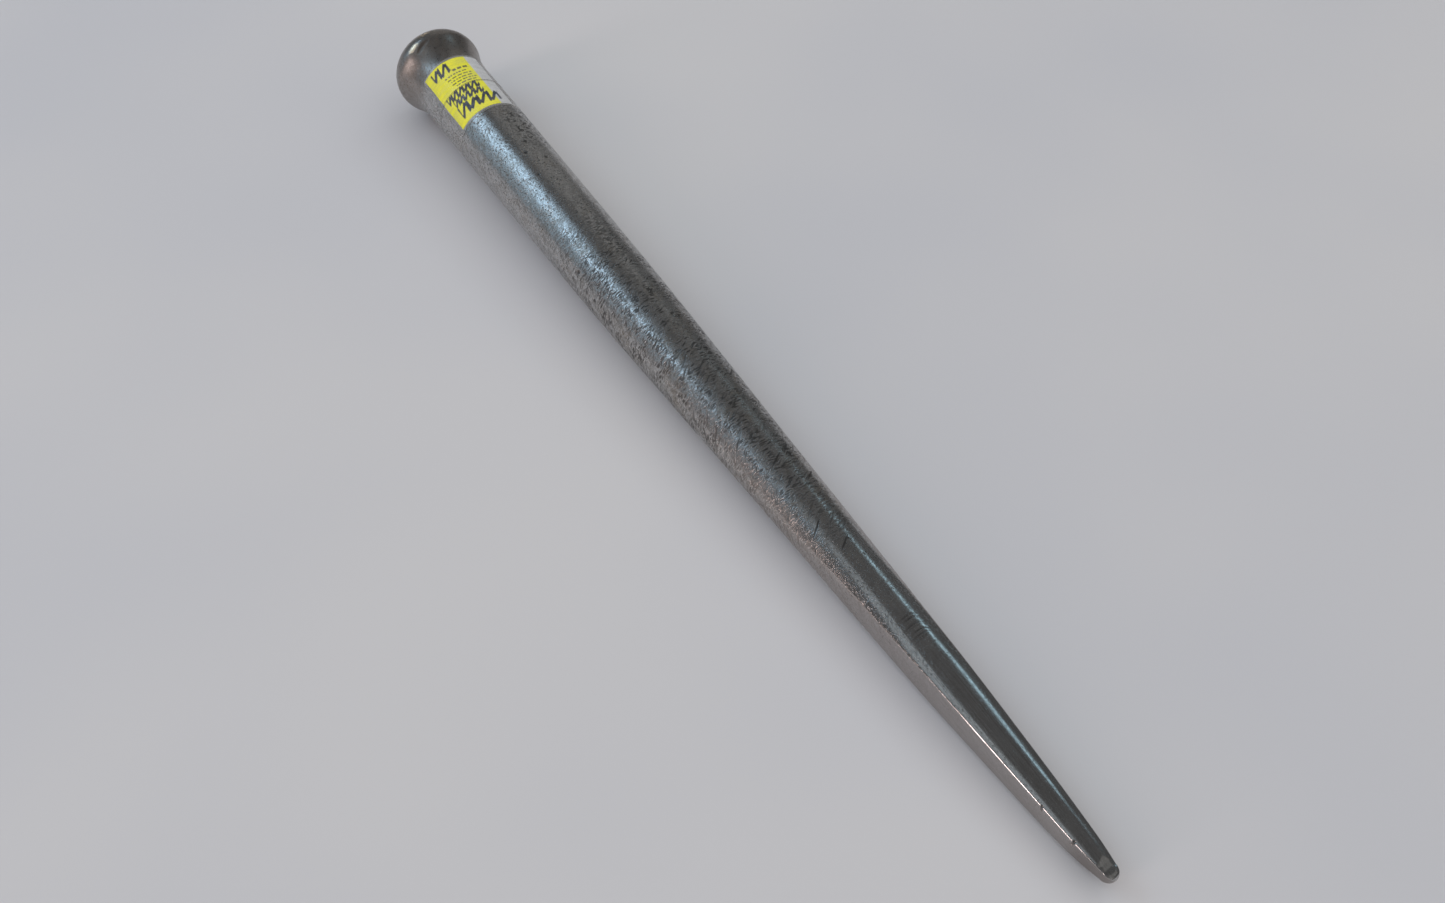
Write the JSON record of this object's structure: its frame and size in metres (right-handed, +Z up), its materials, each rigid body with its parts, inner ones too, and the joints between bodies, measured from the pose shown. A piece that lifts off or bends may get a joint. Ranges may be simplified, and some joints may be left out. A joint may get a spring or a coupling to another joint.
{
  "type": "marlin spike",
  "caption": "Long round steel splicing spike with a flared, domed head and a blunt, squared point, with a taped-on paper label.",
  "frame": {"origin": "on the table plane, under the middle of the bounding box of the spike as it lies", "axes": "+X along the spike from the head to the point, +Z up; the spike's own axis slopes down towards +X by about 1.8 degrees, because it lies on its rim and its belly"},
  "size_m": [0.4826, 0.0424, 0.0422],
  "materials": {
    "steel": "dark forged and ground steel, worn semi-polished",
    "label_paper": "fluorescent yellow paper with a white margin",
    "clear_tape": "thin clear glossy tape"
  },
  "bodies": {
    "root": {"spike_forging": "steel", "price_label": "label_paper", "tape_strip_head": "clear_tape", "tape_strip_point": "clear_tape"}
  },
  "joints": []
}
